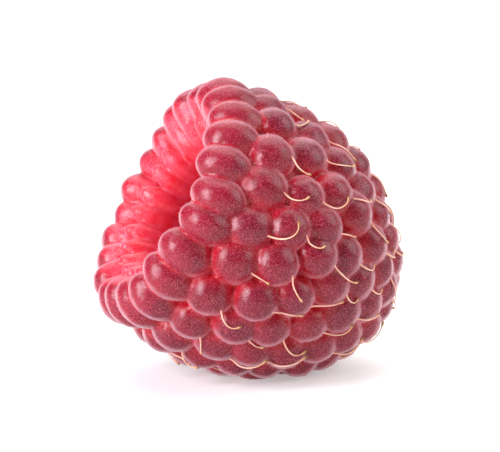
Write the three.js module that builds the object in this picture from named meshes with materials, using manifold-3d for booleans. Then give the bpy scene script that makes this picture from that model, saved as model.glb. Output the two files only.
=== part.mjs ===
// A ripe raspberry, picked, so that it is hollow where it sat on its receptacle. It lies on its side.
// The fruit is one solid: rows of drupelets grown together round the hollow, from the rim to the nose.
// The dried styles are pieces of their own, one fine hair on each of many drupelets.
// Units are millimetres, +Z is up, and the origin is on the surface, under the middle of the part.

import * as THREE from 'three';
import { mergeVertices } from 'three/addons/utils/BufferGeometryUtils.js';
import Module from 'manifold-3d';

// The fruit, along its own axis from the plane of the mouth to the nose
const LENGTH = 20.9;
const WIDTH = 22.0;          // across the crowns of the widest row
const WAIST_HEIGHT = 7.6;    // of the widest place, from the mouth
const MOUTH_WIDTH = 19.6;    // across the crowns at the mouth
const NOSE_SQUARENESS = 1.8; // 2 would make the nose half an ellipse
const NOSE_BLUNTNESS = 0.58; // 0.5 would make the nose half an ellipse

// The hollow that the receptacle leaves, a blunt cone that flares towards the mouth
const HOLLOW_MOUTH_WIDTH = 12.4;
const HOLLOW_MIDDLE_WIDTH = 9.6;
const HOLLOW_END_WIDTH = 5.4;
const HOLLOW_END_ROUND = 1.6;
const HOLLOW_DEPTH = 14.5;

// The drupelets: a rim row, then rows that close up towards the nose
const RIM_ROW = 1.55;        // place of the rim row along the outline, from the mouth
const RIM_STEP = 3.45;       // from the rim row to the second
const ROW_STEP = 3.0;        // from the second row to the third
const ROW_SHRINK = 0.963;    // each later step against the one before
const NOSE_CLEAR = 1.6;      // outline left free of rows at the nose
const RIM_PITCH = 2.28;      // from drupelet to drupelet round the rim row, at their middles
const PITCH = 2.74;          // and round the other rows
const DRUPELET = { across: 1.78, deep: 1.95, along: 1.84 };    // half sizes
const RIM_DRUPELET = { across: 1.58, deep: 2.1, along: 2.05 }; // half sizes
const CREASE_DEPTH = 1.4;    // from the crowns to the wall that the drupelets grow on
const DRUPELET_FACETS = 8;
const DRUPELET_RINGS = 4;

// How the drupelets stray from an even pattern
const FIRST_TURN = 90;       // where the rows start, in degrees round the axis from its upper side
const TURN_SPREAD = 5;       // degrees, on the widest row
const PLACE_SPREAD = 0.5;    // along the outline
const SIZE_SPREAD = 0.12;    // as a share of the drupelet's size
const UPPER_LEAN = 1.2;      // how far the rows creep towards the mouth on the upper side
const RIM_STEADINESS = 0.5;  // the rim row's share of the stray and the lean

// The dried styles
const STYLE_COUNT = 54;
const STYLE_THICKNESS = 0.16;
const STYLE_SHORTEST = 2.2;
const STYLE_LONGEST = 4.4;
const STYLE_FOOT = 0.3;      // its foot's place, as a share of its drupelet's half length
const STYLE_CLEAR = 0.42;    // over the crowns, at both ends
const STYLE_ARCH = 0.5;      // how much higher its middle rises
const STYLE_FAN = 55;        // most degrees to either side of straight towards the nose
const STYLE_FLOOR_CLEAR = 3.0;
const STYLE_GAP = 0.25;      // least distance between two styles' middle lines
const STYLE_STEPS = 6;
const STYLE_SIDES = 4;

// How the fruit lies
const NOSE_DOWN = 29.6;      // degrees below level
const SETTLE = 0.5;          // how far the lowest crown is pressed flat

const OUTLINE_PARTS = 24;
const WALL_BANDS = 12;
const WALL_SIDES = 24;

const wasm = await Module();
wasm.setup();

const flesh = new THREE.MeshStandardMaterial({ color: 0xb0293c, roughness: 0.55, metalness: 0 });
const hair = new THREE.MeshStandardMaterial({ color: 0xd9a566, roughness: 0.6, metalness: 0 });

// A repeatable number from 0 to 1 for each seed, so that every drupelet and style differs a little.
function chance(seed) {
  const wave = Math.sin(seed * 127.1 + 311.7) * 43758.5453;
  return wave - Math.floor(wave);
}

// three.js geometry as a manifold-3d solid
function solidOf(geometry) {
  const bare = geometry.clone();
  bare.deleteAttribute('normal');
  bare.deleteAttribute('uv');
  const merged = mergeVertices(bare, 1e-4);
  const vertProperties = new Float32Array(merged.attributes.position.array);
  const triVerts = new Uint32Array(merged.index.array);
  return new wasm.Manifold(new wasm.Mesh({ numProp: 3, vertProperties, triVerts }));
}

// A manifold-3d solid as three.js geometry
function geometryOf(solid) {
  const mesh = solid.getMesh();
  const geometry = new THREE.BufferGeometry();
  geometry.setAttribute('position', new THREE.BufferAttribute(mesh.vertProperties, 3));
  geometry.setIndex(new THREE.BufferAttribute(mesh.triVerts, 1));
  geometry.computeVertexNormals();
  return geometry;
}

// The outline that the crowns touch, as points (radius, height) from the mouth to the nose: a shallow
// parabola up to the waist, then a quarter of a blunt superellipse.
function outlinePoints() {
  const points = [];
  const flare = (WIDTH - MOUTH_WIDTH) / 2;
  for (let i = 0; i < OUTLINE_PARTS; i++) {
    const below = 1 - i / OUTLINE_PARTS;
    points.push(new THREE.Vector2(WIDTH / 2 - flare * below ** 2, WAIST_HEIGHT * (1 - below)));
  }
  for (let i = 0; i <= 2 * OUTLINE_PARTS; i++) {
    const angle = Math.PI / 4 * i / OUTLINE_PARTS;
    const radius = WIDTH / 2 * Math.max(0, Math.cos(angle)) ** (2 * NOSE_BLUNTNESS);
    const height = (LENGTH - WAIST_HEIGHT) * Math.sin(angle) ** (2 / NOSE_SQUARENESS);
    points.push(new THREE.Vector2(radius, WAIST_HEIGHT + height));
  }
  return points;
}

const outline = new THREE.SplineCurve(outlinePoints());
outline.arcLengthDivisions = 400;
const outlineLength = outline.getLength();

// The outline at a distance from the mouth: its radius, its height and its outward normal.
function outlineAt(distance) {
  const share = THREE.MathUtils.clamp(distance / outlineLength, 0, 1);
  const point = outline.getPointAt(share);
  const tangent = outline.getTangentAt(share);
  return { radius: point.x, height: point.y, normal: new THREE.Vector2(tangent.y, -tangent.x) };
}

// A point or direction in the fruit's frame, whose Y axis runs from the mouth to the nose.
function around(radius, height, degrees) {
  const angle = THREE.MathUtils.degToRad(degrees);
  return new THREE.Vector3(radius * Math.sin(angle), height, radius * Math.cos(angle));
}

// One row's drupelets: each one's distance along the outline, turn round the axis and half sizes.
function rowOfDrupelets(row, distance, firstSeed) {
  const half = row === 0 ? RIM_DRUPELET : DRUPELET;
  const freedom = row === 0 ? RIM_STEADINESS : 1;
  const at = outlineAt(distance);
  const middleRadius = at.radius - half.deep * at.normal.x;
  const count = Math.max(3, Math.round(2 * Math.PI * middleRadius / (row === 0 ? RIM_PITCH : PITCH)));
  const spread = TURN_SPREAD * freedom * WIDTH / 2 / Math.max(at.radius, WIDTH / 4);
  const list = [];
  for (let i = 0; i < count; i++) {
    const seed = firstSeed + i;
    const turn = FIRST_TURN + 360 / count * (i + row % 2 / 2) + (chance(seed) - 0.5) * spread;
    const upper = 0.5 + 0.5 * Math.cos(THREE.MathUtils.degToRad(turn));
    const lean = UPPER_LEAN * freedom * upper ** 2 * (1 - distance / outlineLength);
    const shift = (chance(seed + 500) - 0.5) * PLACE_SPREAD;
    const size = 1 + (chance(seed + 900) - 0.5) * SIZE_SPREAD;
    list.push({ row, distance: distance - lean + shift, turn, half, size });
  }
  return list;
}

// All the drupelets, row by row. Every second row is turned half a step, so that they nest.
function allDrupelets() {
  const list = [];
  let distance = RIM_ROW;
  let step = RIM_STEP;
  for (let row = 0; distance < outlineLength - NOSE_CLEAR; row++) {
    list.push(...rowOfDrupelets(row, distance, list.length + 1));
    distance += step;
    step = row === 0 ? ROW_STEP : step * ROW_SHRINK;
  }
  return list;
}

// One drupelet: an ellipsoid whose crown touches the outline, with its pole facing straight out.
function drupeletSolid({ distance, turn, half, size }) {
  const at = outlineAt(distance);
  const deep = half.deep * size;
  const out = around(at.normal.x, at.normal.y, turn);
  const across = around(1, 0, turn + 90);
  const along = new THREE.Vector3().crossVectors(across, out);
  const middle = around(at.radius, at.height, turn).addScaledVector(out, -deep);
  const ball = new THREE.SphereGeometry(1, DRUPELET_FACETS, DRUPELET_RINGS);
  ball.scale(half.across * size, deep, half.along * size);
  ball.applyMatrix4(new THREE.Matrix4().makeBasis(across, out, along).setPosition(middle));
  return solidOf(ball);
}

// The wall between the hollow and the creases, turned on a lathe. Its edge lies inside the rim row.
function wallSolid() {
  const edge = RIM_ROW;
  const profile = [
    new THREE.Vector2(0, HOLLOW_DEPTH),
    new THREE.Vector2(HOLLOW_END_WIDTH / 2 - HOLLOW_END_ROUND / 2, HOLLOW_DEPTH - HOLLOW_END_ROUND / 4),
    new THREE.Vector2(HOLLOW_END_WIDTH / 2, HOLLOW_DEPTH - HOLLOW_END_ROUND),
    new THREE.Vector2(HOLLOW_MIDDLE_WIDTH / 2, HOLLOW_DEPTH * 0.45),
    new THREE.Vector2(HOLLOW_MOUTH_WIDTH / 2, edge),
  ];
  for (let i = 0; i < WALL_BANDS; i++) {
    const at = outlineAt(edge + (outlineLength - edge) * i / WALL_BANDS);
    const radius = at.radius - CREASE_DEPTH * at.normal.x;
    profile.push(new THREE.Vector2(radius, at.height - CREASE_DEPTH * at.normal.y));
  }
  profile.push(new THREE.Vector2(0, LENGTH - CREASE_DEPTH));
  return solidOf(new THREE.LatheGeometry(profile, WALL_SIDES));
}

// The turn from the fruit's frame to how it lies: nose towards +X and down.
function lyingDown() {
  const slope = THREE.MathUtils.degToRad(NOSE_DOWN);
  const side = new THREE.Vector3(0, -1, 0);
  const axis = new THREE.Vector3(Math.cos(slope), 0, -Math.sin(slope));
  const upper = new THREE.Vector3(Math.sin(slope), 0, Math.cos(slope));
  return new THREE.Matrix4().makeBasis(side, axis, upper);
}

const attitude = lyingDown();

// The whole fruit, with its lowest crowns cut flat where the surface presses on them.
function fruitSolid(list) {
  const grown = wasm.Manifold.union([wallSolid(), ...list.map(drupeletSolid)]);
  const lying = geometryOf(grown).applyMatrix4(attitude);
  lying.computeBoundingBox();
  const floor = lying.boundingBox.min.z + SETTLE;
  const span = 2 * (LENGTH + WIDTH);
  const ground = new THREE.BoxGeometry(span, span, span);
  ground.translate(0, 0, floor - span / 2);
  ground.applyMatrix4(attitude.clone().invert());
  return { solid: grown.subtract(solidOf(ground)), floor };
}

// Where a style runs: from the noseward side of its drupelet's crown it rises in a low arch over the
// next crowns, and turns a little to one side. over raises all of it.
function stylePoints({ distance, turn, half, size }, seed, over = 0) {
  const reach = THREE.MathUtils.lerp(STYLE_SHORTEST, STYLE_LONGEST, chance(seed + 40));
  const start = (chance(seed + 80) * 2 - 1) * THREE.MathUtils.degToRad(STYLE_FAN);
  const bend = (chance(seed + 120) * 2 - 1) * THREE.MathUtils.degToRad(STYLE_FAN);
  const points = [];
  let place = distance + half.along * size * STYLE_FOOT;
  let angle = turn;
  for (let i = 0; i <= STYLE_STEPS; i++) {
    const share = i / STYLE_STEPS;
    const at = outlineAt(place);
    const lift = STYLE_CLEAR + over + STYLE_ARCH * Math.sin(Math.PI * share);
    points.push(around(at.radius + lift * at.normal.x, at.height + lift * at.normal.y, angle));
    const heading = start + bend * share;
    place += reach / STYLE_STEPS * Math.cos(heading);
    angle += THREE.MathUtils.radToDeg(reach / STYLE_STEPS * Math.sin(heading) / Math.max(at.radius, 2));
  }
  return points;
}

// A thin rod along its points
function styleMesh(points, name) {
  const corners = [];
  for (let i = 0; i < STYLE_SIDES; i++) {
    const angle = 2 * Math.PI * i / STYLE_SIDES;
    corners.push(new THREE.Vector2(Math.cos(angle), Math.sin(angle)).multiplyScalar(STYLE_THICKNESS / 2));
  }
  const extrudePath = new THREE.CatmullRomCurve3(points);
  const settings = { steps: STYLE_STEPS, bevelEnabled: false, extrudePath };
  const mesh = new THREE.Mesh(new THREE.ExtrudeGeometry(new THREE.Shape(corners), settings), hair);
  mesh.name = name;
  return mesh;
}

// The least distance between two styles' middle lines.
function distanceApart(path, other) {
  const [here, there] = [path, other].map((points) => new THREE.CatmullRomCurve3(points).getPoints(24));
  return Math.min(...here.map((p) => Math.min(...there.map((q) => p.distanceTo(q)))));
}

// A style that would meet one already laid lies over it, as dry hairs do.
function layStyle(drupelet, seed, laid) {
  const meetsOne = (path) => laid.some((other) => distanceApart(path, other) < STYLE_GAP);
  let over = 0;
  while (meetsOne(stylePoints(drupelet, seed, over))) over += STYLE_GAP;
  return stylePoints(drupelet, seed, over);
}

// The styles, spread evenly over the drupelets behind the rim row that stand clear of the surface.
function styleMeshes(list, floor) {
  const lowest = floor + STYLE_FLOOR_CLEAR;
  const stands = (path) => path.every((p) => p.clone().applyMatrix4(attitude).z > lowest);
  const grown = list.filter(({ row }) => row > 0).map((drupelet, seed) => ({ drupelet, seed }));
  const clear = grown.filter(({ drupelet, seed }) => stands(stylePoints(drupelet, seed)));
  const laid = [];
  for (let i = 0; i < STYLE_COUNT; i++) {
    const { drupelet, seed } = clear[Math.floor((i + 0.5) * clear.length / STYLE_COUNT)];
    laid.push(layStyle(drupelet, seed, laid));
  }
  return laid.map((path, i) => styleMesh(path, `style_${String(i + 1).padStart(2, '0')}`));
}

const drupelets = allDrupelets();
const { solid, floor } = fruitSolid(drupelets);
const fruit = new THREE.Mesh(geometryOf(solid), flesh);
fruit.name = 'raspberry';

const lying = new THREE.Group();
lying.applyMatrix4(attitude);
lying.add(fruit, ...styleMeshes(drupelets, floor));

const part = new THREE.Group();
part.add(lying);
part.updateMatrixWorld(true);
const box = new THREE.Box3().setFromObject(part, true);
part.position.set(-(box.min.x + box.max.x) / 2, -(box.min.y + box.max.y) / 2, -floor);

export default part;
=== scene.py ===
# %% [markdown]
# # A ripe raspberry, lying on its side
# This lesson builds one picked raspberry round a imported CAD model: the fruit with its hollow, the down on
# its skin, and the dried styles. The CAD model holds the sizes and the place. Everything is in metres, with
# +Z up, and a piece goes where the CAD says, with no fitting.

# %% Load the frame
import math

import bmesh
import bpy
import numpy as np
from mathutils import Matrix, Vector


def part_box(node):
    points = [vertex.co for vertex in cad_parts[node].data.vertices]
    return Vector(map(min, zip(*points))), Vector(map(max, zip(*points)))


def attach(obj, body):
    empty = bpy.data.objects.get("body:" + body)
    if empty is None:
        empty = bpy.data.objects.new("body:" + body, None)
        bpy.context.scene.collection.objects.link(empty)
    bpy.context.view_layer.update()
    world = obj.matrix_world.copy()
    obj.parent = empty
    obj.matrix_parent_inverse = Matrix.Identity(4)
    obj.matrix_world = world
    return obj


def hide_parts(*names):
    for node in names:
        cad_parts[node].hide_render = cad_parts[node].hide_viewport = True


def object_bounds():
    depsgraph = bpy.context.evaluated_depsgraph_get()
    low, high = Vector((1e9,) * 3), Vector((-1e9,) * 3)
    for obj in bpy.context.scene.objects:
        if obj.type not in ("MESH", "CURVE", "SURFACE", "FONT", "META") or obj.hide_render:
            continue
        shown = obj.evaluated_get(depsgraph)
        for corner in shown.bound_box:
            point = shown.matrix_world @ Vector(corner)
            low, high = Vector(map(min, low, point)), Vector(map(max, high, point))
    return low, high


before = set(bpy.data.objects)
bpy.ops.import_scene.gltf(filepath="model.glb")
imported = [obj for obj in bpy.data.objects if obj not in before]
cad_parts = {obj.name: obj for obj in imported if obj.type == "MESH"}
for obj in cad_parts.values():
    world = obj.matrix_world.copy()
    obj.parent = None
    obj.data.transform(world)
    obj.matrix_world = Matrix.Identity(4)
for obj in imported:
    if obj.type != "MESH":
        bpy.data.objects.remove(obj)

MM = 0.001
cad_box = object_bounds()
print("CAD box in mm:", [[round(v / MM, 2) for v in corner] for corner in cad_box])

# %% [markdown]
# ## The camera
# The camera looks along the fruit's side, a little from above. It could stand close, but then the near
# drupelets would swell, so it stands far off with a long lens. It comes first, so that every later piece can
# be looked at as it is made. It is aimed once the fruit is there.

# %% Camera
CAMERA_AZIMUTH = -14.0
CAMERA_ELEVATION = 12.0
CAMERA_DISTANCE = 210 * MM
FRAME_WIDTH = 37.95 * MM       # what the view takes in from side to side, at the fruit
SENSOR = 36.0
NEAREST, FARTHEST = 10 * MM, 10.0


def towards(azimuth, elevation):
    """The direction from the fruit to something at an azimuth and elevation in degrees."""
    a, e = math.radians(azimuth), math.radians(elevation)
    return Vector((math.sin(a) * math.cos(e), -math.cos(a) * math.cos(e), math.sin(e)))


def camera_axes():
    """The camera's right, up and backward directions."""
    back = towards(CAMERA_AZIMUTH, CAMERA_ELEVATION)
    right = Vector((0, 0, 1)).cross(back).normalized()
    return right, back.cross(right), back


def make_camera(aim):
    """A camera that looks at aim, with the frame's width there set by the lens."""
    right, up, back = camera_axes()
    data = bpy.data.cameras.new("camera")
    data.sensor_width = SENSOR
    data.lens = SENSOR * CAMERA_DISTANCE / FRAME_WIDTH
    data.clip_start, data.clip_end = NEAREST, FARTHEST
    camera = bpy.data.objects.new("camera", data)
    bpy.context.scene.collection.objects.link(camera)
    turn = Matrix((right, up, back)).transposed().to_4x4()
    camera.matrix_world = Matrix.Translation(aim + back * CAMERA_DISTANCE) @ turn
    bpy.context.scene.camera = camera
    return camera


camera = make_camera((cad_box[0] + cad_box[1]) / 2)
print("lens in mm:", round(camera.data.lens, 1))

# %% [markdown]
# ## The fruit's plan
# A raspberry is a crowd of small fruits, the drupelets, grown together in rows round a hollow. They could be
# placed one by one, but their crowns all touch one outline, so the plan is that outline, a spacing for the
# rows, and a spacing round each row. Every second row is turned half a step, and the drupelets nest as
# spheres do. The outline, the rows and how they stray are the CAD model's own, so that each bead lies where
# the CAD has it. The beads are a little bigger than the CAD's, because growing together rounds them off.

# %% The outline
LENGTH = 20.9 * MM             # from the plane of the mouth to the nose
WIDTH = 22.0 * MM              # across the crowns of the widest row
WAIST_HEIGHT = 7.6 * MM        # of the widest place, from the mouth
MOUTH_WIDTH = 19.6 * MM        # across the crowns at the mouth
NOSE_SQUARENESS = 1.8          # 2 would make the nose half an ellipse
NOSE_BLUNTNESS = 0.58          # 0.5 would make the nose half an ellipse
OUTLINE_PARTS = 240


def outline_table(parts):
    """Points (radius, height) of the crowns' outline from the mouth to the nose, with their distances."""
    flare = (WIDTH - MOUTH_WIDTH) / 2
    below = 1 - np.arange(parts) / parts
    skirt = np.stack([WIDTH / 2 - flare * below**2, WAIST_HEIGHT * (1 - below)], 1)
    angle = np.linspace(0, math.pi / 2, 2 * parts)
    radius = WIDTH / 2 * np.clip(np.cos(angle), 0, 1) ** (2 * NOSE_BLUNTNESS)
    height = WAIST_HEIGHT + (LENGTH - WAIST_HEIGHT) * np.sin(angle) ** (2 / NOSE_SQUARENESS)
    points = np.concatenate([skirt, np.stack([radius, height], 1)])
    steps = np.hypot(*np.diff(points, axis=0).T)
    return points, np.concatenate([[0], np.cumsum(steps)])


OUTLINE, REACH = outline_table(OUTLINE_PARTS)
OUTLINE_LENGTH = float(REACH[-1])


def outline_at(distance):
    """Radius, height and outward normal of the outline at a distance from the mouth."""
    near = 0.02 * MM
    distance = min(max(distance, near), OUTLINE_LENGTH - near)
    ends = [np.array([np.interp(distance + d, REACH, OUTLINE[:, i]) for i in (0, 1)]) for d in (-near, near)]
    radius, height = (ends[0] + ends[1]) / 2
    along = (ends[1] - ends[0]) / np.linalg.norm(ends[1] - ends[0])
    return radius, height, (along[1], -along[0])


print("outline from mouth to nose in mm:", round(OUTLINE_LENGTH / MM, 2))

# %% [markdown]
# ## Chance
# No two drupelets are alike, but the fruit has to come out the same each time. A seeded generator would do,
# but then one more drupelet would change all that come after it. So each number is worked out from its seed
# alone, with the CAD model's own formula: the last digits of a steep wave. Each use has its own seeds.

# %% Chance
WAVE_STEP, WAVE_START, WAVE_HEIGHT = 127.1, 311.7, 43758.5453
SEEDS = dict(
    turn=0, shift=500, size=900, tilt=60, roll=70, proud=90, tone=33,
    length=40, start=80, bend=120, arch=160, left=220,
)


def chance(seed, use):
    """A repeatable number from 0 to 1 for each seed and use."""
    wave = math.sin((seed + SEEDS[use]) * WAVE_STEP + WAVE_START) * WAVE_HEIGHT
    return wave - math.floor(wave)


print("first turns by chance:", [round(chance(seed, "turn"), 2) for seed in range(1, 6)])

# %% [markdown]
# ## The rows
# The fruit's own frame has its axis along Y, from the mouth to the nose, and its upper side at +Z. `LYING`
# turns it to how the fruit lies, nose towards +X and down.

# %% How it lies
NOSE_DOWN = math.radians(29.6)
LYING = Matrix((
    (0, math.cos(NOSE_DOWN), math.sin(NOSE_DOWN)),
    (-1, 0, 0),
    (0, -math.sin(NOSE_DOWN), math.cos(NOSE_DOWN)),
)).to_4x4()


def around(radius, height, degrees):
    """A point or direction of the fruit's frame."""
    angle = math.radians(degrees)
    return Vector((radius * math.sin(angle), height, radius * math.cos(angle)))


print("nose points towards:", [round(v, 2) for v in LYING @ around(0, 1, 0)])

# %% Rows of drupelets
RIM_ROW = 1.55 * MM            # place of the rim row along the outline, from the mouth
RIM_STEP = 3.45 * MM           # from the rim row to the second
ROW_STEP = 3.0 * MM            # from the second row to the third
ROW_SHRINK = 0.963             # each later step against the one before
NOSE_CLEAR = 1.6 * MM          # outline left free of rows at the nose
RIM_PITCH = 2.28 * MM          # from drupelet to drupelet round the rim row, at their middles
PITCH = 2.74 * MM              # and round the other rows
FEWEST = 3                     # drupelets in a row
DRUPELET = Vector((1.80, 1.95, 1.86)) * MM      # half sizes: across, deep, along
RIM_DRUPELET = Vector((1.66, 2.1, 2.3)) * MM
FIRST_TURN = 90.0              # where the rows start, in degrees round the axis from its upper side
TURN_SPREAD = 5.0              # degrees, on the widest row
PLACE_SPREAD = 0.5 * MM        # along the outline
SIZE_SPREAD = 0.12             # as a share of the drupelet's size
UPPER_LEAN = 1.2 * MM          # how far the rows creep towards the mouth on the upper side
RIM_STEADINESS = 0.5           # the rim row's share of the stray and the lean


def row_of_drupelets(row, distance, first_seed):
    """One row's drupelets, each with its place along the outline, its turn and its half sizes."""
    half = RIM_DRUPELET if row == 0 else DRUPELET
    freedom = RIM_STEADINESS if row == 0 else 1.0
    radius, _, normal = outline_at(distance)
    middle = radius - half.y * normal[0]
    count = max(FEWEST, round(2 * math.pi * middle / (RIM_PITCH if row == 0 else PITCH)))
    spread = TURN_SPREAD * freedom * WIDTH / 2 / max(radius, WIDTH / 4)
    made = []
    for i in range(count):
        seed = first_seed + i
        turn = FIRST_TURN + 360 / count * (i + row % 2 / 2) + (chance(seed, "turn") - 0.5) * spread
        upper = 0.5 + 0.5 * math.cos(math.radians(turn))
        lean = UPPER_LEAN * freedom * upper**2 * (1 - distance / OUTLINE_LENGTH)
        shift = (chance(seed, "shift") - 0.5) * PLACE_SPREAD
        size = 1 + (chance(seed, "size") - 0.5) * SIZE_SPREAD
        made.append(dict(row=row, seed=seed, place=distance - lean + shift, turn=turn, half=half * size))
    return made


def all_drupelets():
    """The rows from the rim to the nose, with steps that close up."""
    made = []
    row, distance, step = 0, RIM_ROW, RIM_STEP
    while distance < OUTLINE_LENGTH - NOSE_CLEAR:
        made += row_of_drupelets(row, distance, len(made) + 1)
        distance += step
        step = ROW_STEP if row == 0 else step * ROW_SHRINK
        row += 1
    return made


def stand_on_outline(d):
    """Gives a drupelet its axes (across, outwards, along) and its middle, with its crown on the outline."""
    radius, height, normal = outline_at(d["place"])
    out = around(normal[0], normal[1], d["turn"])
    across = around(1, 0, d["turn"] + 90)
    d["axes"] = Matrix((across, out, across.cross(out))).transposed()
    d["middle"] = around(radius, height, d["turn"]) - out * d["half"].y


drupelets = all_drupelets()
for d in drupelets:
    stand_on_outline(d)
print(len(drupelets), "drupelets in", drupelets[-1]["row"] + 1, "rows")

# %% [markdown]
# ## One drupelet
# A drupelet is a soft bead: a dome outside, and a narrower root where its neighbours squeeze it. It could be
# a plain ball, but then the creases would stay shallow. So one ball is added at its size, its root is drawn
# in, its shoulders are swelled, and a subdivision surface rounds it. All the others are copies.

# %% Helpers for working by hand
def only(piece):
    """Selects one piece and makes it active."""
    bpy.ops.object.select_all(action="DESELECT")
    piece.select_set(True)
    bpy.context.view_layer.objects.active = piece


def apply_modifier(piece, kind, **settings):
    """Adds a modifier with its settings and applies it."""
    only(piece)
    bpy.ops.object.modifier_add(type=kind)
    modifier = piece.modifiers[-1]
    for name, value in settings.items():
        setattr(modifier, name, value)
    bpy.ops.object.modifier_apply(modifier=modifier.name)


def select_where(piece, test):
    """In edit mode, selects the vertices whose place passes the test."""
    mesh = bmesh.from_edit_mesh(piece.data)
    for v in mesh.verts:
        v.select_set(test(v.co))
    mesh.select_flush_mode()
    bmesh.update_edit_mesh(piece.data)


# %% The first bead
BEAD_SEGMENTS, BEAD_RINGS = 16, 10
ROOT_TOP = -0.3 * MM           # the root is all that lies deeper than this
ROOT_WIDTH = 0.86              # against the ball
SHOULDER_LOW, SHOULDER_HIGH = 0.2 * MM, 0.85 * MM
SHOULDER_WIDTH = 1.07


def model_bead():
    """A bead of half size 1 mm whose dome faces +Y."""
    bpy.ops.object.select_all(action="DESELECT")
    bpy.ops.mesh.primitive_uv_sphere_add(
        segments=BEAD_SEGMENTS, ring_count=BEAD_RINGS, radius=1 * MM, rotation=(-math.pi / 2, 0, 0),
    )
    bead = bpy.context.object
    bead.name = "bead"
    bpy.ops.object.transform_apply(location=False, rotation=True, scale=False)
    bpy.ops.object.mode_set(mode="EDIT")
    select_where(bead, lambda co: co.y < ROOT_TOP)
    bpy.ops.transform.resize(value=(ROOT_WIDTH, 1.0, ROOT_WIDTH))
    select_where(bead, lambda co: SHOULDER_LOW < co.y < SHOULDER_HIGH)
    bpy.ops.transform.resize(value=(SHOULDER_WIDTH, 1.0, SHOULDER_WIDTH))
    bpy.ops.object.mode_set(mode="OBJECT")
    apply_modifier(bead, "SUBSURF", levels=1, render_levels=1)
    return bead


bead = model_bead()
print("one bead has", len(bead.data.polygons), "faces")

# %% Copies of the bead
TILT = math.radians(20)        # the whole range, half of it to either side
PROUD = 0.34 * MM              # likewise, from sunk to proud


def copy_of(source, name, place):
    """A copy with a mesh of its own, its place put into the mesh."""
    data = source.data.copy()
    data.transform(place)
    made = bpy.data.objects.new(name, data)
    bpy.context.scene.collection.objects.link(made)
    return made


def stray(d, use):
    """A drupelet's chance as a number from -0.5 to 0.5."""
    return chance(d["seed"], use) - 0.5


def bead_place(d):
    """From the bead's own frame to where the drupelet sits, a little tilted, proud or sunk."""
    size = Matrix.Diagonal(d["half"] / MM).to_4x4()
    tilt = Matrix.Rotation(stray(d, "tilt") * TILT, 4, "X") @ Matrix.Rotation(stray(d, "roll") * TILT, 4, "Z")
    proud = Matrix.Translation(d["axes"] @ Vector((0, stray(d, "proud") * PROUD, 0)))
    return proud @ Matrix.Translation(d["middle"]) @ d["axes"].to_4x4() @ tilt @ size


beads = [copy_of(bead, "drupelet", bead_place(d)) for d in drupelets]
print("beads placed:", len(beads))

# %% [markdown]
# ## The wall round the hollow
# The drupelets grow on a wall that the receptacle filled. It could be a cone cut out of a solid, but its
# mouth flares and its end is blunt. So its section is drawn point by point with extrudes, from the hollow's
# end to the rim and on behind the creases to the nose, and then spun round the axis, as on a lathe.

# %% Wall
HOLLOW_MOUTH_WIDTH = 12.4 * MM
HOLLOW_MIDDLE_WIDTH = 9.6 * MM
HOLLOW_END_WIDTH = 5.4 * MM
HOLLOW_DEPTH = 14.5 * MM
HOLLOW_MIDDLE = HOLLOW_DEPTH * 0.45     # height at which the middle width is taken, from the mouth
HOLLOW_END = HOLLOW_DEPTH - 1.8 * MM    # and the end width, where the blunt end starts
LIP = 0.8 * MM                          # the wall's edge, a little below the rim drupelets' tops
CREASE_DEPTH = 1.45 * MM                # from the crowns to the wall
WALL_BANDS, WALL_STEPS = 14, 72
SAME_POINT = 0.005 * MM


def wall_section():
    """The wall's section as points (radius, height), from the hollow's end round the rim to the nose."""
    mouth = HOLLOW_MOUTH_WIDTH / 2
    blunt_end = [(0.0, HOLLOW_DEPTH), (HOLLOW_END_WIDTH * 0.36, HOLLOW_DEPTH - 0.5 * MM)]
    sides = [(HOLLOW_END_WIDTH / 2, HOLLOW_END), (HOLLOW_MIDDLE_WIDTH / 2, HOLLOW_MIDDLE)]
    soft_edge = [
        (mouth - 0.2 * MM, LIP + 2.4 * MM),
        (mouth + 0.3 * MM, LIP + 1.2 * MM),
        (mouth + 1.1 * MM, LIP + 0.4 * MM),
    ]
    behind_creases = []
    for i in range(WALL_BANDS):
        radius, height, normal = outline_at(LIP + (OUTLINE_LENGTH - LIP) * i / WALL_BANDS)
        behind_creases.append((radius - CREASE_DEPTH * normal[0], height - CREASE_DEPTH * normal[1]))
    return blunt_end + sides + soft_edge + behind_creases + [(0.0, LENGTH - CREASE_DEPTH)]


def model_wall():
    """The wall, drawn in the YZ plane and spun round Y."""
    bpy.ops.object.select_all(action="DESELECT")
    section = wall_section()
    bpy.ops.mesh.primitive_plane_add(size=1 * MM, location=(0, section[0][1], 0))
    wall = bpy.context.object
    wall.name = "wall"
    bpy.ops.object.transform_apply(location=True, rotation=False, scale=False)
    bpy.ops.object.mode_set(mode="EDIT")
    bpy.ops.mesh.select_all(action="SELECT")
    bpy.ops.mesh.merge(type="CENTER")
    for (r0, h0), (r1, h1) in zip(section, section[1:]):
        move = (0, h1 - h0, r1 - r0)
        bpy.ops.mesh.extrude_vertices_move(TRANSFORM_OT_translate={"value": move})
    bpy.ops.mesh.select_all(action="SELECT")
    bpy.ops.mesh.spin(steps=WALL_STEPS, angle=2 * math.pi, center=(0, 0, 0), axis=(0, 1, 0))
    bpy.ops.mesh.select_all(action="SELECT")
    bpy.ops.mesh.remove_doubles(threshold=SAME_POINT)
    bpy.ops.mesh.normals_make_consistent(inside=False)
    bpy.ops.object.mode_set(mode="OBJECT")
    return wall


wall = model_wall()
print("the wall has", len(wall.data.polygons), "faces")

# %% [markdown]
# ## The ribs in the hollow
# Inside, each rim drupelet runs on as a soft rib, and behind the ribs the inner ends of the other drupelets
# show as low bumps. They could be sculpted into the wall, but the same bead serves, stretched and sunk, so
# that it only just stands out of the wall.

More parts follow.
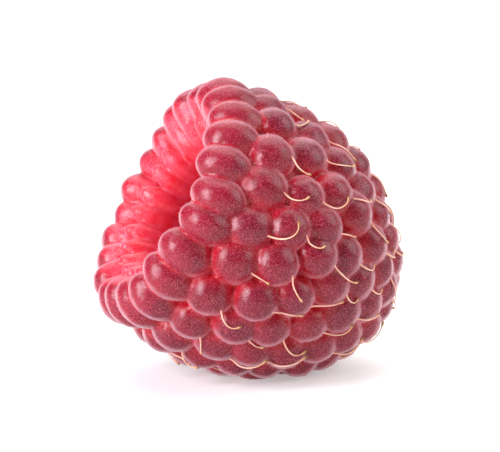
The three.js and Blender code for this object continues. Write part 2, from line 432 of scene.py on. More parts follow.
# %% Ribs and bumps
RIB = Vector((1.05, 1.25, 3.0)) * MM            # half sizes: across, deep, along
RIB_PLACE = 3.3 * MM
RIB_STAND = 0.33               # the share of its depth that stands out of the wall
BUMP = Vector((0.98, 0.7, 1.35)) * MM
BUMP_STAND = 0.15
BUMP_ROWS = 4
BUMP_STEP = 2.1 * MM
BUMP_PITCH = 1.75 * MM
BUMP_TURN_SPREAD = 6           # degrees
SEEDS_PER_ROW = 40
RIBS_OVERLAP = 0.9             # the first bumps start before the ribs end


def hollow_radius(height):
    """The wall's radius at a height in the hollow."""
    radii = [HOLLOW_MOUTH_WIDTH / 2, HOLLOW_MIDDLE_WIDTH / 2, HOLLOW_END_WIDTH / 2]
    return float(np.interp(height, [LIP, HOLLOW_MIDDLE, HOLLOW_END], radii))


def hollow_bump(height, turn, half, stand):
    """Where a bump sits on the hollow's wall, sunk so that only a share of it stands out."""
    slope = (hollow_radius(height + 0.5 * MM) - hollow_radius(height - 0.5 * MM)) / MM
    inward = around(-1, slope, turn).normalized()
    across = around(1, 0, turn + 90)
    axes = Matrix((across, inward, across.cross(inward))).transposed().to_4x4()
    middle = around(hollow_radius(height), height, turn) - inward * half.y * (1 - 2 * stand)
    return Matrix.Translation(middle) @ axes @ Matrix.Diagonal(half / MM).to_4x4()


def model_hollow_bumps():
    """A rib for each rim drupelet, and rows of bumps behind them."""
    made = []
    for d in drupelets:
        if d["row"] == 0:
            made.append(copy_of(bead, "rib", hollow_bump(RIB_PLACE, d["turn"], RIB, RIB_STAND)))
    for row in range(BUMP_ROWS):
        height = RIB_PLACE + RIB.z * RIBS_OVERLAP + BUMP_STEP * row
        count = round(2 * math.pi * hollow_radius(height) / BUMP_PITCH)
        for i in range(count):
            stray_turn = BUMP_TURN_SPREAD * chance(row * SEEDS_PER_ROW + i, "turn")
            turn = 360 / count * (i + row % 2 / 2) + stray_turn
            made.append(copy_of(bead, "bump", hollow_bump(height, turn, BUMP, BUMP_STAND)))
    return made


bumps = model_hollow_bumps()
print("ribs and bumps in the hollow:", len(bumps))

# %% [markdown]
# ## Growing together
# The real fruit is one piece, with soft creases where drupelet meets drupelet. A boolean union would leave
# razor-sharp creases, so the beads, the wall and the ribs are joined and remeshed with small voxels, which
# melts them into one skin. A light smoothing takes out the voxels' steps, and a slow, shallow noise makes
# the beads a little uneven, as grown things are. The hollow is smoothed much more, because the receptacle
# pressed it nearly smooth.

# %% One skin
VOXEL = 0.13 * MM
SKIN_TRIANGLES = 190_000
LUMP_SIZE = 1.6 * MM
LUMP_HEIGHT = 0.16 * MM
SOFT_RADIUS = 6.4 * MM         # the hollow's own smoothing reaches this far from the axis
SOFT_START = 0.8 * MM          # and starts at this height, so that the rim keeps its shape
END_MARGIN = 0.4 * MM          # past the hollow's end


def soften_hollow(fruit):
    """Smooths the hollow alone."""
    group = fruit.vertex_groups.new(name="hollow")
    inner = [
        v.index for v in fruit.data.vertices
        if math.hypot(v.co.x, v.co.z) < SOFT_RADIUS and SOFT_START < v.co.y < HOLLOW_DEPTH + END_MARGIN
    ]
    group.add(inner, 1.0, "REPLACE")
    apply_modifier(fruit, "SMOOTH", factor=0.5, iterations=12, vertex_group="hollow")
    fruit.vertex_groups.clear()


def grow_together(parts):
    """Joins the parts and melts them into one skin."""
    only(parts[0])
    for part in parts:
        part.select_set(True)
    bpy.ops.object.join()
    fruit = bpy.context.object
    fruit.name = "raspberry_flesh"
    apply_modifier(fruit, "REMESH", mode="VOXEL", voxel_size=VOXEL)
    apply_modifier(fruit, "SMOOTH", factor=0.35, iterations=1)
    lumps = bpy.data.textures.new("lumps", "CLOUDS")
    lumps.noise_scale = LUMP_SIZE
    apply_modifier(fruit, "DECIMATE", ratio=min(1, SKIN_TRIANGLES / 2 / len(fruit.data.polygons)))
    apply_modifier(
        fruit, "DISPLACE", texture=lumps, texture_coords="LOCAL", strength=LUMP_HEIGHT, mid_level=0.5,
    )
    soften_hollow(fruit)
    return fruit


flesh = grow_together([wall] + beads + bumps)
bpy.data.objects.remove(bead)
print("the skin has", len(flesh.data.polygons), "faces")

# %% [markdown]
# ## Laying it down
# The fruit is turned to how it lies and moved onto the CAD fruit's box. It could simply touch the surface,
# but a soft fruit never rests on points. So it is let down a little, and where its lowest crowns would reach
# below the surface, the skin is pressed flat there, as its own weight does.

# %% Lay it down
SETTLE = 0.5 * MM              # how far the lowest crown is pressed flat


def coordinates(piece):
    """The places of a mesh's points, one row each."""
    co = np.empty(len(piece.data.vertices) * 3)
    piece.data.vertices.foreach_get("co", co)
    return co.reshape(-1, 3)


cad_low, cad_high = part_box("raspberry")
flesh.data.transform(LYING)
laid = coordinates(flesh)
low, high = Vector(laid.min(0)), Vector(laid.max(0))
to_place = (cad_low + cad_high - low - high) / 2
to_place.z = -SETTLE - low.z
PLACED = Matrix.Translation(to_place) @ LYING
laid += np.array(to_place)
pressed = int((laid[:, 2] < 0).sum())
laid[:, 2] = np.maximum(laid[:, 2], 0)
flesh.data.vertices.foreach_set("co", laid.ravel())
flesh.data.update()
print("mouth's middle in mm:", [round(v / MM, 2) for v in to_place], "pressed points:", pressed)

# %% [markdown]
# ## Where the skin is which
# The colours follow the fruit: mauve and downy on the crowns, a clear red in the creases, and a wet pinkish
# red in the hollow. Creases and hollow are a brighter red, partly their own bare flesh and partly painted
# glow of light shining through it, and the hollow is painted darker towards its depth, as shade. They could
# be painted on as a texture, but the plan already knows them. So each point of the skin learns from the plan
# how near it is to a crease, how far it is inside the hollow, and which drupelet it belongs to. The material
# reads these as attributes.

# %% Attribute helpers
def smoothstep(low, high, x):
    """0 below low, 1 above high, and a soft rise between."""
    x = np.clip((x - low) / (high - low), 0, 1)
    return x * x * (3 - 2 * x)


def add_attribute(piece, name, values):
    """Gives each point of a piece a number that its material can read."""
    attribute = piece.data.attributes.new(name, "FLOAT", "POINT")
    attribute.data.foreach_set("value", np.asarray(values, np.float32))


def vertex_normals(piece):
    """The outward directions at a mesh's points, one row each."""
    n = np.empty(len(piece.data.vertices) * 3)
    piece.data.vertex_normals.foreach_get("vector", n)
    return n.reshape(-1, 3)


def nearest_drupelets(own):
    """Each point's drupelet, and how much farther the next one is, in drupelet sizes."""
    nearest = np.full(len(own), np.inf)
    second = np.full(len(own), np.inf)
    owner = np.zeros(len(own), int)
    for i, d in enumerate(drupelets):
        local = (own - np.array(d["middle"])) @ np.array(d["axes"]) / np.array(d["half"])
        reach = np.linalg.norm(local, axis=1)
        closer = reach < nearest
        second = np.where(closer, nearest, np.minimum(second, reach))
        owner = np.where(closer, i, owner)
        nearest = np.minimum(nearest, reach)
    return owner, second - nearest


# %% Attributes
# Each pair is where a share starts to rise from 0 and where it reaches 1.
CREASE_SUNK = (0.75 * MM, 1.35 * MM)    # depth under the crown
FLANK_SUNK = (0.3 * MM, 1.05 * MM)
RIM_PINCH = (0.0, 0.18)                 # how much farther the next drupelet is, in drupelet sizes
LIP_FACING = (-0.3, 0.6)                # how far the skin faces out of the mouth
INWARD_FACING = (0.0, 0.6)              # how far it faces the axis
INWARD_FADE = (7.0 * MM, 8.8 * MM)      # distance from the axis
EDGE_FADE = (-0.4 * MM, 0.3 * MM)       # distance outside the hollow's edge
DEEP = (0.5 * MM, 6.5 * MM)             # height in the hollow
EDGE_RADIUS = 6.5 * MM                  # of the hollow's edge at the rim drupelets' tops
EDGE_GROWTH = 1.3 * MM                  # how much wider the hollow's skin is below them
EDGE_LOW, EDGE_RISE = -0.5 * MM, 2 * MM


def hollow_edge(height):
    """The radius inside which the skin belongs to the hollow, wider below the rim drupelets' tops."""
    return EDGE_RADIUS + EDGE_GROWTH * np.clip((height - EDGE_LOW) / EDGE_RISE, 0, 1)


def hollow_share(own, normals):
    """How far each point belongs to the hollow: inside its edge, or facing the axis near it."""
    radius = np.hypot(own[:, 0], own[:, 2])
    inward = -(normals[:, 0] * own[:, 0] + normals[:, 2] * own[:, 2]) / np.maximum(radius, 1e-6)
    # Facing the axis near the rim, the skin takes the hollow's bright colour: painted glow of light shining
    # through the thin rim drupelets.
    facing_in = smoothstep(*INWARD_FACING, inward) * (1 - smoothstep(*INWARD_FADE, radius))
    inside = np.maximum(1 - smoothstep(*EDGE_FADE, radius - hollow_edge(own[:, 1])), facing_in)
    return inside * (own[:, 1] < HOLLOW_DEPTH + END_MARGIN)


def mark_skin(piece):
    """Gives the skin its attributes, and returns the shares of crease, hollow and deep hollow."""
    turn = np.array(PLACED.inverted())
    own = coordinates(piece) @ turn[:3, :3].T + turn[:3, 3]
    normals = vertex_normals(piece) @ turn[:3, :3].T
    owner, gap = nearest_drupelets(own)
    out = np.array([np.array(d["axes"])[:, 1] for d in drupelets])[owner]
    middle = np.array([d["middle"] for d in drupelets])[owner]
    deep_half = np.array([d["half"].y for d in drupelets])[owner]
    on_rim = np.array([d["row"] == 0 for d in drupelets])[owner]
    sunk = deep_half - ((own - middle) * out).sum(1)
    lip = on_rim * smoothstep(*LIP_FACING, -normals[:, 1])
    pinch = 1 - smoothstep(*RIM_PINCH, gap)
    crease = np.maximum(smoothstep(*CREASE_SUNK, sunk) * (1 - lip), pinch * lip)
    flank = smoothstep(*FLANK_SUNK, sunk) * (1 - lip)
    inside = hollow_share(own, normals)
    deep = smoothstep(*DEEP, own[:, 1]) * inside
    tone = np.array([chance(i, "tone") for i in range(len(drupelets))])[owner]
    add_attribute(piece, "crease", crease * (1 - inside))
    add_attribute(piece, "flank", flank * (1 - inside))
    add_attribute(piece, "hollow", inside)
    add_attribute(piece, "lip", lip)
    add_attribute(piece, "deep", deep)
    add_attribute(piece, "tone", tone)
    return crease, inside, deep


crease, inside, deep = mark_skin(flesh)
print("share of skin in creases:", round(float((crease > 0.5).mean()), 2))
print("share of skin in the hollow:", round(float((inside > 0.5).mean()), 2))

# %% [markdown]
# ## Materials
# Colours are given as sRGB hex values and turned to linear by one function, and one small function adds a
# node with its settings and links.

# %% Material helpers
def linear(code):
    """An sRGB hex value as a linear colour with alpha."""
    channels = [int(code[i:i + 2], 16) / 255 for i in (0, 2, 4)]
    return tuple(c / 12.92 if c <= 0.04045 else ((c + 0.055) / 1.055) ** 2.4 for c in channels) + (1.0,)


def add_node(tree, kind, settings=None, **inputs):
    """A node with its settings, and its inputs set to values or linked to sockets.

    An input goes by its name, with _ for a space, or by i and its number.
    """
    made = tree.nodes.new(kind)
    for name, value in (settings or {}).items():
        setattr(made, name, value)
    for name, value in inputs.items():
        numbered = name[0] == "i" and name[1:].isdigit()
        socket = made.inputs[int(name[1:]) if numbered else name.replace("_", " ")]
        if isinstance(value, bpy.types.NodeSocket):
            tree.links.new(value, socket)
        else:
            socket.default_value = value
    return made


def new_material(name):
    """An empty material and its node tree."""
    material = bpy.data.materials.new(name)
    material.use_nodes = True
    material.node_tree.nodes.clear()
    return material, material.node_tree


MULTIPLY = dict(operation="MULTIPLY")
COLOURS = dict(data_type="RGBA")        # makes a Mix node mix the colours i6 and i7, by the factor i0
print("a deep red in linear numbers:", [round(c, 3) for c in linear("700314")])

# %% [markdown]
# ## The skin's finish
# Raspberry skin is thin, downy and nearly clear, over wet red flesh. Light goes in, scatters red and comes
# out soft, so the shader scatters under the surface, mostly red, over a little less than a millimetre. One
# red all over would look like plastic. So the colour is laid in layers that the attributes lead: each
# drupelet's own tone, a pale bloom in patches, flanks and creases a brighter red, partly bare flesh and
# partly painted glow of light shining through, and the wet hollow, also partly painted glow and painted
# darker towards its depth, as shade. A fine grain gives the down seen end on. Seen edge on, the down hides
# the skin behind it, and Layer Weight paints that pale sheen into the colour. It stops short of the deep
# hollow, which has no down.

# %% Raspberry skin
SPECK = 0.1 * MM               # the down seen end on, drawn a little coarser than real so that it shows
MOTTLE = 0.9 * MM              # patches of bloom
BLOOM = 0.22                   # how strong the bloom is at most
SPECKS = 0.6                   # and the down seen end on
SHEEN = 0.68                   # and the painted sheen where the down is seen edge on
DRY_TO = 0.16                  # the deep share at which the down has stopped
GRAIN_HEIGHT = 0.035 * MM


def raspberry_skin():
    """Thin, downy, glossy fruit skin over wet, clear red flesh: dark soft crowns with a painted pale sheen at
    the edge.
    """
    material, tree = new_material("raspberry_skin")
    place = add_node(tree, "ShaderNodeTexCoord").outputs["Object"]
    share = {
        name: add_node(tree, "ShaderNodeAttribute", dict(attribute_name=name)).outputs["Fac"]
        for name in ("crease", "flank", "hollow", "deep", "lip", "tone")
    }
    grain = add_node(
        tree, "ShaderNodeTexNoise", Vector=place, Scale=1 / SPECK, Detail=2.0, Roughness=0.7,
    ).outputs["Fac"]
    mottle = add_node(
        tree, "ShaderNodeTexNoise", Vector=place, Scale=1 / MOTTLE, Detail=3.0, Roughness=0.6,
    ).outputs["Fac"]
    # Layer Weight paints a pale sheen into the colour where the skin is seen edge on.
    facing = add_node(tree, "ShaderNodeLayerWeight", Blend=0.5).outputs["Facing"]
    specks = add_node(tree, "ShaderNodeMapRange", Value=grain, From_Min=0.5, From_Max=0.67, To_Max=SPECKS)
    sheen = add_node(tree, "ShaderNodeMapRange", Value=facing, From_Min=0.46, From_Max=1.0, To_Max=SHEEN)
    patch = add_node(tree, "ShaderNodeMapRange", Value=mottle, From_Min=0.38, From_Max=0.66)
    dry = add_node(
        tree, "ShaderNodeMapRange", Value=share["deep"], From_Max=DRY_TO, To_Min=1.0, To_Max=0.0,
    )
    bloom = add_node(tree, "ShaderNodeMath", MULTIPLY, i0=patch.outputs[0], i1=BLOOM)
    downy = add_node(tree, "ShaderNodeMath", MULTIPLY, i0=specks.outputs[0], i1=dry.outputs[0])
    painted_sheen = add_node(tree, "ShaderNodeMath", MULTIPLY, i0=sheen.outputs[0], i1=dry.outputs[0])
    layers = dict(
        outside=(
            # Flanks and creases: a brighter red, partly bare flesh and partly painted glow of light shining
            # through the skin.
            "700314", (share["tone"], "5c051a"), (bloom.outputs[0], "982e46"), (share["flank"], "960a1a"),
            (share["lip"], "861226"), (share["crease"], "ac0616"),
        ),
        # The wet hollow: a bright red, partly the flesh's own and partly painted glow of light through the
        # thin walls; towards its depth it is painted darker, as shade.
        wet=("cc1c30", (patch.outputs[0], "d43a50"), (share["deep"], "8c0410")),
        down=("c45a6e", (share["hollow"], "e08494")),
    )
    laid_on = {}
    for name, (code, *over) in layers.items():
        mixed = linear(code)
        for factor, code in over:
            mixed = add_node(tree, "ShaderNodeMix", COLOURS, i0=factor, i6=mixed, i7=linear(code)).outputs[2]
        laid_on[name] = mixed
    colour = laid_on["outside"]
    for factor, other in (
        (share["hollow"], laid_on["wet"]),
        (downy.outputs[0], laid_on["down"]),
        # Painted sheen: pale pink where the skin is seen edge on.
        (painted_sheen.outputs[0], linear("ecb4c0")),
    ):
        colour = add_node(tree, "ShaderNodeMix", COLOURS, i0=factor, i6=colour, i7=other).outputs[2]
    rough = add_node(
        tree, "ShaderNodeMapRange", Value=grain, From_Min=0.3, From_Max=0.7, To_Min=0.08, To_Max=0.21,
    )
    bump = add_node(tree, "ShaderNodeBump", Height=grain, Strength=0.6, Distance=GRAIN_HEIGHT)
    skin = add_node(
        tree, "ShaderNodeBsdfPrincipled", Base_Color=colour, Roughness=rough.outputs[0], IOR=1.36,
        Subsurface_Weight=0.6, Subsurface_Radius=(1.0, 0.06, 0.06), Subsurface_Scale=0.9 * MM,
        Sheen_Weight=0.4, Sheen_Roughness=0.15, Sheen_Tint=linear("ffd0da"), Normal=bump.outputs[0],
    )
    add_node(tree, "ShaderNodeOutputMaterial", Surface=skin.outputs[0])
    return material


skin = raspberry_skin()
flesh.data.materials.clear()
flesh.data.materials.append(skin)
only(flesh)
bpy.ops.object.shade_smooth()
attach(flesh, "root")
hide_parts("raspberry")
print("skin material nodes:", len(skin.node_tree.nodes))

# %% [markdown]
# ## The down
# A raspberry is covered in short, fine, colourless hairs. They frost its crowns, catch the light along each
# edge, and make its outline soft. A particle system could grow them, but it wouldn't be a mesh. So one hair
# is modelled, a thin three-sided spike, and its points are copied in one go to thousands of places.

# %% One hair
HAIR_SIDES = 3


def model_hair():
    """One spike of length 1 mm along +Z with its foot at the origin."""
    bpy.ops.object.select_all(action="DESELECT")
    bpy.ops.mesh.primitive_cone_add(
        vertices=HAIR_SIDES, radius1=0.5 * MM, radius2=0, depth=1 * MM, location=(0, 0, 0.5 * MM),
    )
    bpy.ops.object.transform_apply(location=True, rotation=False, scale=False)
    return bpy.context.object


hair = model_hair()
spike = coordinates(hair) / MM
spike_faces = [list(p.vertices) for p in hair.data.polygons]
bpy.data.objects.remove(hair)
print("one hair has", len(spike_faces), "faces")

# %% Where the hairs stand
HAIRS_PER_MM2 = 17
BARE_DEEP = (0.0, 0.2)         # shares of the deep hollow and of the crease over which the down thins out
BARE_CREASE = (0.1, 0.6)
BARE_BELOW = 0.25 * MM         # no hairs where the fruit is pressed on the surface
DOWN_SEED = 7


def unit(vectors):
    """The same directions with a length of 1."""
    return vectors / np.linalg.norm(vectors, axis=1)[:, None]


def foot_places(piece, per_mm2, random):
    """Places and normals spread evenly over the skin outside the hollow and off the surface it lies on."""
    piece.data.calc_loop_triangles()
    corners = np.empty(len(piece.data.loop_triangles) * 3, int)
    piece.data.loop_triangles.foreach_get("vertices", corners)
    corners = corners.reshape(-1, 3)
    co, normals = coordinates(piece), vertex_normals(piece)
    a, b, c = (co[corners[:, i]] for i in range(3))
    area = np.linalg.norm(np.cross(b - a, c - a), axis=1) / 2
    bare = np.maximum(smoothstep(*BARE_DEEP, deep), smoothstep(*BARE_CREASE, crease))
    weight = area * (1 - bare)[corners].mean(1) * (a[:, 2] > BARE_BELOW)
    count = int(weight.sum() / MM**2 * per_mm2)
    face = random.choice(len(corners), count, p=weight / weight.sum())
    u, v = random.random((2, count, 1))
    u, v = np.where(u + v > 1, 1 - u, u), np.where(u + v > 1, 1 - v, v)
    place = a[face] + (b[face] - a[face]) * u + (c[face] - a[face]) * v
    return place, unit(normals[corners[face]].mean(1))


random = np.random.default_rng(DOWN_SEED)
feet, feet_normals = foot_places(flesh, HAIRS_PER_MM2, random)
print("hairs in the down:", len(feet))

# %% The down
HAIR_LENGTH = 0.24 * MM
HAIR_SHORTEST = 0.5            # of that length
HAIR_THICKNESS = 0.015 * MM
HAIR_LIE = (0.1, 0.75)         # how far a hair lies over, as its sideways share against its upright share
HAIR_SINK = 0.02 * MM          # how deep its foot stands in the skin


def hair_points(place, normal, random):
    """The points of all the hairs, spike after spike."""
    count = len(place)
    sideways = random.normal(size=(count, 3))
    sideways -= (sideways * normal).sum(1)[:, None] * normal
    sideways = unit(sideways)
    along = unit(normal + sideways * random.uniform(*HAIR_LIE, (count, 1)))
    across = unit(np.cross(along, sideways))
    third = np.cross(along, across)
    length = HAIR_LENGTH * random.uniform(HAIR_SHORTEST, 1.0, (count, 1))
    foot = place - normal * HAIR_SINK
    return np.concatenate([
        foot + along * length * z + (across * x + third * y) * HAIR_THICKNESS for x, y, z in spike
    ], 1).reshape(-1, 3)


def mesh_of_spikes(name, points, count):
    """One mesh of many copies of the spike."""
    corners = np.concatenate([np.array(f) for f in spike_faces])
    sizes = [len(f) for f in spike_faces]
    first_points = np.arange(count)[:, None] * len(spike)
    data = bpy.data.meshes.new(name)
    data.vertices.add(len(points))
    data.vertices.foreach_set("co", points.ravel())
    data.loops.add(count * len(corners))
    data.loops.foreach_set("vertex_index", (first_points + corners).ravel())
    data.polygons.add(count * len(sizes))
    data.polygons.foreach_set("loop_start", np.concatenate([[0], np.cumsum(np.tile(sizes, count))[:-1]]))
    data.update(calc_edges=True)
    made = bpy.data.objects.new(name, data)
    bpy.context.scene.collection.objects.link(made)
    return made


down = mesh_of_spikes("down", hair_points(feet, feet_normals, random), len(feet))
add_attribute(down, "along", np.tile(spike[:, 2], len(feet)))
print("the down has", len(down.data.polygons), "faces")

# %% [markdown]
# ## The down's finish
# The hairs are colourless plant hair. They could be white, but they are so thin that the skin's red shows
# through near the foot. So the colour runs along each hair, from a dull red to a pale pink tip.

# %% Fruit down
def fruit_down():
    """Colourless plant hair: glassy and pale, taking the skin's red near its foot."""
    material, tree = new_material("fruit_down")
    along = add_node(tree, "ShaderNodeAttribute", dict(attribute_name="along")).outputs["Fac"]
    ramp = add_node(tree, "ShaderNodeValToRGB", Fac=along)
    ramp.color_ramp.elements[0].color = linear("982c44")
    ramp.color_ramp.elements[1].color = linear("e4a6b4")
    shader = add_node(tree, "ShaderNodeBsdfPrincipled", Base_Color=ramp.outputs[0], Roughness=0.4, IOR=1.5)
    add_node(tree, "ShaderNodeOutputMaterial", Surface=shader.outputs[0])
    return material


down.data.materials.append(fruit_down())
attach(down, "root")
print("down material:", down.data.materials[0].name)

# %% [markdown]
# ## The dried styles
# Each drupelet once carried a style, the thread that caught the pollen. On ripe fruit it is a dry golden hair
# with a tiny knob, the stigma, at its end. It could be a bent cylinder, but a real one is thicker at its foot
# and follows the skin it has dried on. So each style is a smooth curve with a round section through a few
# points that lie just over the skin, made a mesh at the end, as a cord would be. A few have dropped off, and
# none touches another.

# %% Where a style lies
STYLE_SHORTEST = 1.5 * MM
STYLE_LONGEST = 3.3 * MM
STYLE_POINTS = 8
STYLE_FOOT = 0.62              # its foot's place, as a share of its drupelet's half length
STYLE_FAN = math.radians(55)   # the unit of the four numbers below
START_SPREAD, START_UP = 0.8, 0.35
BEND_SPREAD, BEND_UP = 1.5, 0.9
BEND_LATE = 1.5                # above 1, a style bends more towards its knob
NEAR_AXIS = 2 * MM             # nearer than this, a style turns no faster round the axis
FOOT_SHARE = 0.3               # the share of its length in which it comes out of the skin
FOOT_SINK = 0.12 * MM          # how deep its foot stands in the skin
STYLE_CLEAR = 0.07 * MM        # between its middle line and the skin
STYLE_ARCH = 0.2 * MM          # how much higher its middle may rise
SKIN_DEEPEST = 0.7 * MM        # a style doesn't follow the skin further down than this
LOOK_FROM = 2 * MM


def skin_height(place, turn):
    """How far the skin stands above or below the outline at a place."""
    radius, height, normal = outline_at(place)
    out = (PLACED.to_3x3() @ around(normal[0], normal[1], turn)).normalized()
    start = PLACED @ around(radius, height, turn)
    hit, where, _, _ = flesh.ray_cast(start + out * LOOK_FROM, -out)
    return max((where - start).dot(out), -SKIN_DEEPEST) if hit else 0.0


def style_route(d, number):
    """Places along and round the outline, from the noseward side of a drupelet over the next ones."""
    length = STYLE_SHORTEST + (STYLE_LONGEST - STYLE_SHORTEST) * chance(number, "length")
    upwards = -math.copysign(1, math.sin(math.radians(d["turn"])))
    start = ((chance(number, "start") * 2 - 1) * START_SPREAD - START_UP * upwards) * STYLE_FAN
    bend = ((chance(number, "bend") * 2 - 1) * BEND_SPREAD + BEND_UP * upwards) * STYLE_FAN
    place, turn = d["place"] + d["half"].z * STYLE_FOOT, d["turn"]
    step = length / STYLE_POINTS
    route = []
    for i in range(STYLE_POINTS + 1):
        route.append((place, turn, skin_height(place, turn)))
        heading = start + bend * (i / STYLE_POINTS) ** BEND_LATE
        place += step * math.cos(heading)
        turn += math.degrees(step * math.sin(heading) / max(outline_at(place)[0], NEAR_AXIS))
    return route


def style_path(d, number):
    """A style's points: its foot in the skin, and the rest lying over it in a low arch."""
    route = style_route(d, number)
    arch = STYLE_ARCH * chance(number, "arch")
    points = []
    for i, (place, turn, under) in enumerate(route):
        share = i / STYLE_POINTS
        radius, height, normal = outline_at(place)
        near = [h for _, _, h in route[max(0, i - 1):i + 2]]
        carried = (max(near) + sum(near) / len(near)) / 2
        rise = float(smoothstep(0, FOOT_SHARE, share))
        lift = (under - FOOT_SINK) * (1 - rise) + (carried + STYLE_CLEAR) * rise
        lift += arch * math.sin(math.pi * share)
        points.append(PLACED @ around(radius + lift * normal[0], height + lift * normal[1], turn))
    return points


bpy.context.view_layer.update()         # so that rays are cast at the skin as it lies now
print("skin over the outline at the waist in mm:", round(skin_height(WAIST_HEIGHT, FIRST_TURN) / MM, 2))

# %% Styles
STYLE_THICKNESS = 0.11 * MM
FOOT_WIDTH, TIP_WIDTH = 1.35, 0.8       # against that thickness
TAPERED_BY = 0.625                      # the share of its length by which it has thinned
KNOB_LENGTH, KNOB_WIDTH, KNOB_END = 1.2, 2.4, 0.5       # against that thickness
LOWEST_STYLE = 0.6 * MM
STYLES_LEFT = 0.92                      # the others have dropped off
STYLE_GAP = 0.35 * MM                   # a style nearer than this to another has been rubbed off


def style_curve(points):
    """One style as a tapered curve that ends in its knob, made a mesh."""
    data = bpy.data.curves.new("style", "CURVE")
    data.dimensions = "3D"
    data.bevel_depth = STYLE_THICKNESS / 2
    data.bevel_resolution = 1
    data.resolution_u = 3
    data.use_fill_caps = True
    spline = data.splines.new("NURBS")
    end = points[-1] + (points[-1] - points[-2]).normalized() * STYLE_THICKNESS * KNOB_LENGTH
    points = points + [end]
    spline.points.add(len(points) - 1)
    spline.order_u = 3
    spline.use_endpoint_u = True
    for i, point in enumerate(points):
        share = i / (len(points) - 1)
        spline.points[i].co = (*point, 1)
        spline.points[i].radius = FOOT_WIDTH - (FOOT_WIDTH - TIP_WIDTH) * min(1, share / TAPERED_BY)
    spline.points[-2].radius = KNOB_WIDTH
    spline.points[-1].radius = KNOB_END
    made = bpy.data.objects.new("style", data)
    bpy.context.scene.collection.objects.link(made)
    only(made)
    bpy.ops.object.convert(target="MESH")
    made = bpy.context.object
    away = np.linalg.norm(coordinates(made) - np.array(points[0]), axis=1)
    add_attribute(made, "along", away / float(away.max()))
    return made


def meets_one(path, laid):
    """Whether a style would touch or cross one that is already laid."""
    return any((p - q).length < STYLE_GAP for p in path for q in laid)


def lay_styles(grown_on):
    """The styles of each row, from the rim to the nose."""
    styles, laid = {}, []
    for number, d in enumerate(grown_on):
        path = style_path(d, number)
        dropped = chance(number, "left") > STYLES_LEFT
        if dropped or min(p.z for p in path) < LOWEST_STYLE or meets_one(path, laid):
            continue
        styles.setdefault(d["row"], []).append(style_curve(path))
        laid += path
    return styles


styles = lay_styles([d for d in drupelets if d["row"] > 0])
print("styles in each row:", {row: len(made) for row, made in styles.items()})

# %% [markdown]
# ## The styles' finish
# A dried style is plant hair too, but dead and dry. One straw colour would do from afar. From near, the red
# of the fruit has drawn up into its foot, and the knob has turned brown, so the colour runs along it.

# %% Dried style
def dried_style():
    """Dry plant hair: pale straw gold, a little translucent, redder at the foot and brown at the knob."""
    material, tree = new_material("dried_style")
    along = add_node(tree, "ShaderNodeAttribute", dict(attribute_name="along")).outputs["Fac"]
    ramp = add_node(tree, "ShaderNodeValToRGB", Fac=along)
    stops = ramp.color_ramp.elements
    stops[0].position, stops[0].color = 0.0, linear("e8b09a")
    stops[1].position, stops[1].color = 0.97, linear("8a5a26")
    for position, code in ((0.12, "e8a890"), (0.5, "f0c0aa"), (0.89, "dca67c")):
        stop = stops.new(position)
        stop.color = linear(code)
    shader = add_node(
        tree, "ShaderNodeBsdfPrincipled", Base_Color=ramp.outputs[0], Roughness=0.42, IOR=1.45,
        Subsurface_Weight=0.3, Subsurface_Radius=(1.0, 0.6, 0.3), Subsurface_Scale=0.1 * MM,
    )
    add_node(tree, "ShaderNodeOutputMaterial", Surface=shader.outputs[0])
    return material


# %% One piece for each row of styles
straw = dried_style()
style_nodes = sorted(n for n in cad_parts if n.startswith("style_"))
for row, made in styles.items():
    only(made[0])
    for one in made:
        one.select_set(True)
    if len(made) > 1:
        bpy.ops.object.join()
    piece = bpy.context.object
    piece.name = f"dried_styles_row_{row + 1}"
    piece.data.materials.clear()
    piece.data.materials.append(straw)
    bpy.ops.object.shade_smooth()
    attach(piece, "root")
    if row == min(styles):
        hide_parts(*style_nodes)
print("style nodes replaced:", len(style_nodes))

# %% [markdown]
# ## Floor and light
# The fruit lies on a plain white table in a white room. One big light would leave the crowns flat, so there
# are three: a tall, narrow soft light low on the left, which draws a small highlight on each crown, a broad
# one above and behind, and a weaker one on the right. A dim, even surround lifts the shadows, and the table
# glows a little, as white paper does in a bright room.

# %% Floor
TABLE_SIZE = 6.0


def white_table():
    """Matt white paper: it takes a soft shadow, and shows no gloss."""
    material, tree = new_material("white_table")
    shader = add_node(
        tree, "ShaderNodeBsdfPrincipled", Base_Color=linear("dadada"), Roughness=0.9,
        Emission_Color=linear("ffffff"), Emission_Strength=0.36,
    )
    add_node(tree, "ShaderNodeOutputMaterial", Surface=shader.outputs[0])
    return material


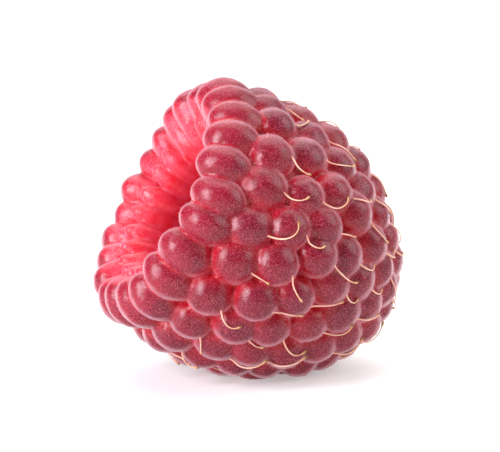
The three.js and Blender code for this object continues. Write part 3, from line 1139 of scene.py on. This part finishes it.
bpy.ops.object.select_all(action="DESELECT")
bpy.ops.mesh.primitive_plane_add(size=TABLE_SIZE)
table = bpy.context.object
table.name = "table"
table.data.materials.append(white_table())
print("table's side in metres:", TABLE_SIZE)

# %% Lights
LIGHTS = dict(                  # degrees, degrees, metres, metres, watts, colour
    key=dict(azimuth=-66, elevation=22, distance=0.4, size=(0.075, 0.32), power=2.8, tint="f4f4ff"),
    top=dict(azimuth=165, elevation=68, distance=0.6, size=(0.7, 0.7), power=4.5, tint="ffffff"),
    side=dict(azimuth=75, elevation=32, distance=0.5, size=(0.4, 0.4), power=1.75, tint="ffffff"),
)
SURROUND = 0.3


def softbox(name, aim, azimuth, elevation, distance, size, power, tint):
    """A rectangular light at a direction round the fruit, facing it."""
    back = towards(azimuth, elevation)
    data = bpy.data.lights.new(name, "AREA")
    data.shape = "RECTANGLE"
    data.size, data.size_y = size
    data.energy = power
    data.color = linear(tint)[:3]
    light = bpy.data.objects.new(name, data)
    bpy.context.scene.collection.objects.link(light)
    facing = back.to_track_quat("Z", "Y").to_matrix().to_4x4()
    light.matrix_world = Matrix.Translation(aim + back * distance) @ facing


for name, light in LIGHTS.items():
    softbox(name, (cad_low + cad_high) / 2, **light)
world = bpy.data.worlds.new("white_room")
world.use_nodes = True
surround = world.node_tree.nodes["Background"]
surround.inputs["Color"].default_value = (1, 1, 1, 1)
surround.inputs["Strength"].default_value = SURROUND
bpy.context.scene.world = world
bpy.context.scene.view_settings.view_transform = "Standard"

# %% [markdown]
# ## Aiming the camera
# The camera could look at the middle of the CAD box, but the outline it sees is what has to sit in the frame.
# So it looks at the middle of that outline, nudged a little.

# %% Aim the camera
right, up, back = camera_axes()
seen = coordinates(flesh)
aim = Vector()
for axis in (right, up, back):
    spread = seen @ np.array(axis)
    aim += axis * float(spread.min() + spread.max()) / 2
NUDGE = right * 0.1 * MM + up * 0.22 * MM
camera.location = aim + NUDGE + back * CAMERA_DISTANCE
print("aimed at, in mm:", [round(v / MM, 2) for v in aim])
